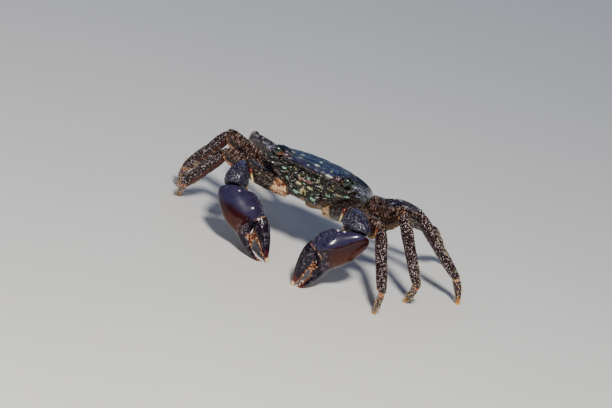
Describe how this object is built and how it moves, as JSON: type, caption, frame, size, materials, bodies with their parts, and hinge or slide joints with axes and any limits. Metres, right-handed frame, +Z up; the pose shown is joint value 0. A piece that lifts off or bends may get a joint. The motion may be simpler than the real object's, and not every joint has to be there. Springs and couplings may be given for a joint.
{
  "type": "shore crab",
  "caption": "Still, life-size lined shore crab standing alert on a flat floor, with a broad flat shell, raised claws reaching down in front and eight spread walking legs.",
  "frame": {"origin": "centre of the whole box, on the floor that the feet stand on", "axes": "+Z up, the crab faces -Y, its own left side is towards +X"},
  "size_m": [0.111, 0.0768, 0.0366],
  "materials": {
    "shell": "glossy blue-black shell with green and cream flecks",
    "underside": "satin olive and cream skin with dark mottling",
    "mouth": "dark, wet, with mint-green patches",
    "eye": "polished dark green-black",
    "claw": "polished dark purple, red-brown below, with orange-pink teeth",
    "leg": "granular maroon-brown with pale netted flecks",
    "foot": "dark horn with orange-yellow spines"
  },
  "bodies": {
    "root": {"abdomen": "underside", "antenna_l": "mouth", "antenna_r": "mouth", "carapace": "shell", "claw_l_carpus": "claw", "claw_l_finger": "claw", "claw_l_merus": "claw", "claw_l_palm": "claw", "claw_r_carpus": "claw", "claw_r_finger": "claw", "claw_r_merus": "claw", "claw_r_palm": "claw", "eye_l": "eye", "eye_r": "eye", "eyestalk_l": "mouth", "eyestalk_r": "mouth", "leg_l2_base": "leg", "leg_l2_carpus": "leg", "leg_l2_dactyl": "foot", "leg_l2_merus": "leg", "leg_l2_propodus": "leg", "leg_l3_base": "leg", "leg_l3_carpus": "leg", "leg_l3_dactyl": "foot", "leg_l3_merus": "leg", "leg_l3_propodus": "leg", "leg_l4_base": "leg", "leg_l4_carpus": "leg", "leg_l4_dactyl": "foot", "leg_l4_merus": "leg", "leg_l4_propodus": "leg", "leg_l5_base": "leg", "leg_l5_carpus": "leg", "leg_l5_dactyl": "foot", "leg_l5_merus": "leg", "leg_l5_propodus": "leg", "leg_r2_base": "leg", "leg_r2_carpus": "leg", "leg_r2_dactyl": "foot", "leg_r2_merus": "leg", "leg_r2_propodus": "leg", "leg_r3_base": "leg", "leg_r3_carpus": "leg", "leg_r3_dactyl": "foot", "leg_r3_merus": "leg", "leg_r3_propodus": "leg", "leg_r4_base": "leg", "leg_r4_carpus": "leg", "leg_r4_dactyl": "foot", "leg_r4_merus": "leg", "leg_r4_propodus": "leg", "leg_r5_base": "leg", "leg_r5_carpus": "leg", "leg_r5_dactyl": "foot", "leg_r5_merus": "leg", "leg_r5_propodus": "leg", "maxilliped_l": "mouth", "maxilliped_r": "mouth", "underside": "underside"}
  },
  "joints": []
}
